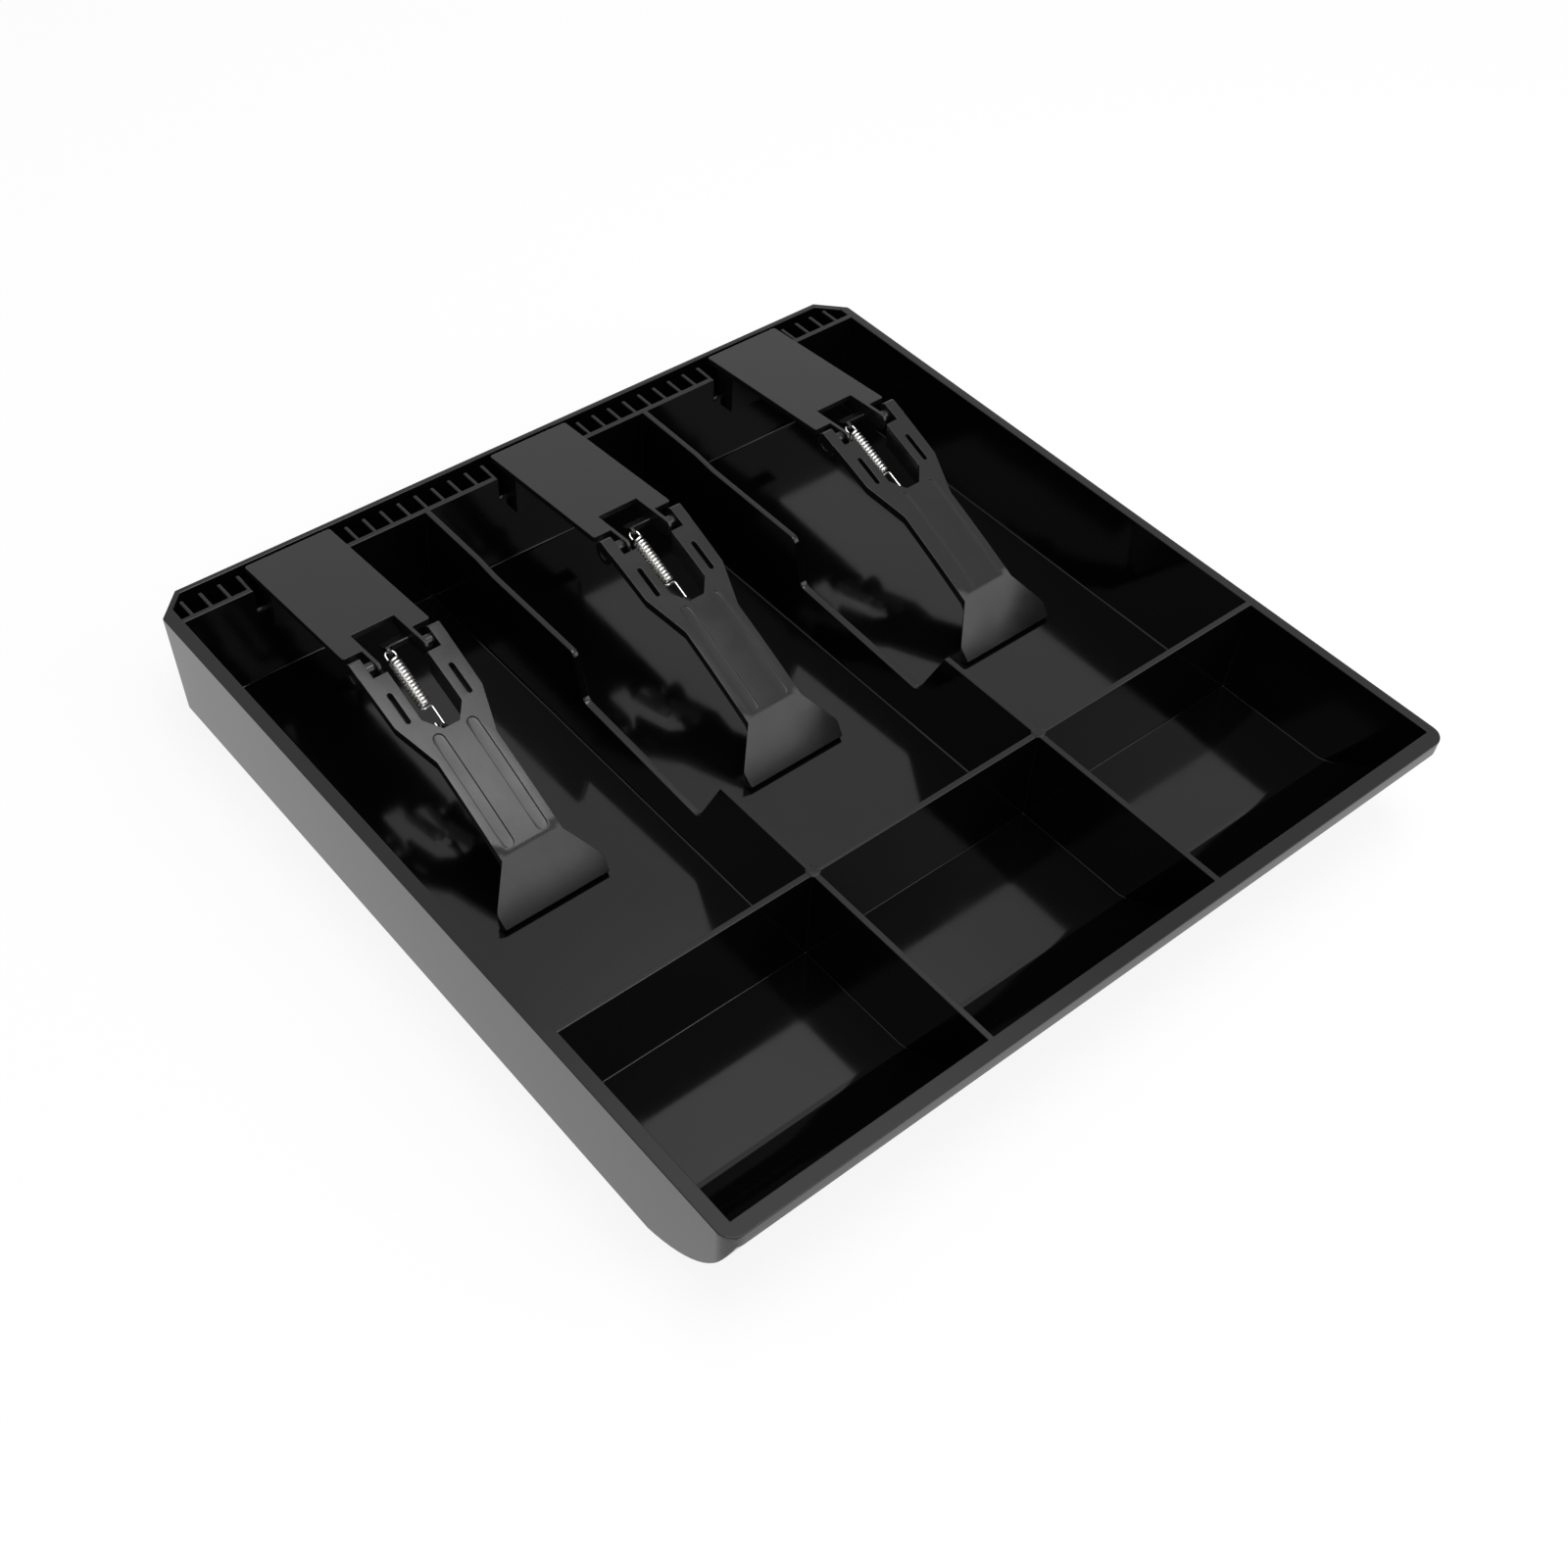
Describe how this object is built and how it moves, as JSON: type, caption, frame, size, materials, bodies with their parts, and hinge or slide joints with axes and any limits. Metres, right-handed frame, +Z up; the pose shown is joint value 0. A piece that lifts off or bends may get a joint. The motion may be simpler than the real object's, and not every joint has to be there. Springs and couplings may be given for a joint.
{
  "type": "cash drawer tray",
  "caption": "Black moulded cash drawer insert with open note bays, scooped coin bins and sprung hold-down clips that swing up on hinges.",
  "frame": {"origin": "middle of the flat underside, halfway along the width and length of the rim", "axes": "+X to the right seen from the front, +Y to the rear where the clips are mounted, +Z up"},
  "size_m": [0.245, 0.25, 0.041],
  "materials": {
    "tray_plastic": "glossy black moulding with fine handling marks",
    "clip_plastic": "satin black moulding",
    "spring_steel": "bright drawn spring wire"
  },
  "bodies": {
    "tray": {"tray_shell": "tray_plastic", "clip_base_1": "clip_plastic", "clip_base_2": "clip_plastic", "clip_base_3": "clip_plastic"},
    "clip_arm_1": {"clip_arm_1": "clip_plastic"},
    "clip_spring_1": {"clip_spring_1": "spring_steel"},
    "clip_arm_2": {"clip_arm_2": "clip_plastic"},
    "clip_spring_2": {"clip_spring_2": "spring_steel"},
    "clip_arm_3": {"clip_arm_3": "clip_plastic"},
    "clip_spring_3": {"clip_spring_3": "spring_steel"}
  },
  "joints": [
    {"name": "clip_1_hinge", "type": "hinge", "parent": "tray", "child": "clip_arm_1", "pos_m": [-0.08217, 0.0635, 0.0377], "axis": [-1, 0, 0], "range_deg": [0, 110], "stiffness_Nm_per_rad": 0.02, "springref_deg": -28.65},
    {"name": "spring_1_swing", "type": "hinge", "parent": "tray", "child": "clip_spring_1", "pos_m": [-0.08217, 0.069, 0.0347], "axis": [-1, 0, 0], "range_deg": [0, 88], "deforming": ["clip_spring_1"]},
    {"name": "clip_2_hinge", "type": "hinge", "parent": "tray", "child": "clip_arm_2", "pos_m": [-0.0011, 0.0635, 0.0377], "axis": [-1, 0, 0], "range_deg": [0, 110], "stiffness_Nm_per_rad": 0.02, "springref_deg": -28.65},
    {"name": "spring_2_swing", "type": "hinge", "parent": "tray", "child": "clip_spring_2", "pos_m": [-0.0011, 0.069, 0.0347], "axis": [-1, 0, 0], "range_deg": [0, 88], "deforming": ["clip_spring_2"]},
    {"name": "clip_3_hinge", "type": "hinge", "parent": "tray", "child": "clip_arm_3", "pos_m": [0.08038, 0.0635, 0.0377], "axis": [-1, 0, 0], "range_deg": [0, 110], "stiffness_Nm_per_rad": 0.02, "springref_deg": -28.65},
    {"name": "spring_3_swing", "type": "hinge", "parent": "tray", "child": "clip_spring_3", "pos_m": [0.08038, 0.069, 0.0347], "axis": [-1, 0, 0], "range_deg": [0, 88], "deforming": ["clip_spring_3"]}
  ],
  "couplings": [
    {"joint": "spring_1_swing", "follows": "clip_1_hinge", "ratio": 0.798},
    {"joint": "spring_2_swing", "follows": "clip_2_hinge", "ratio": 0.798},
    {"joint": "spring_3_swing", "follows": "clip_3_hinge", "ratio": 0.798}
  ]
}
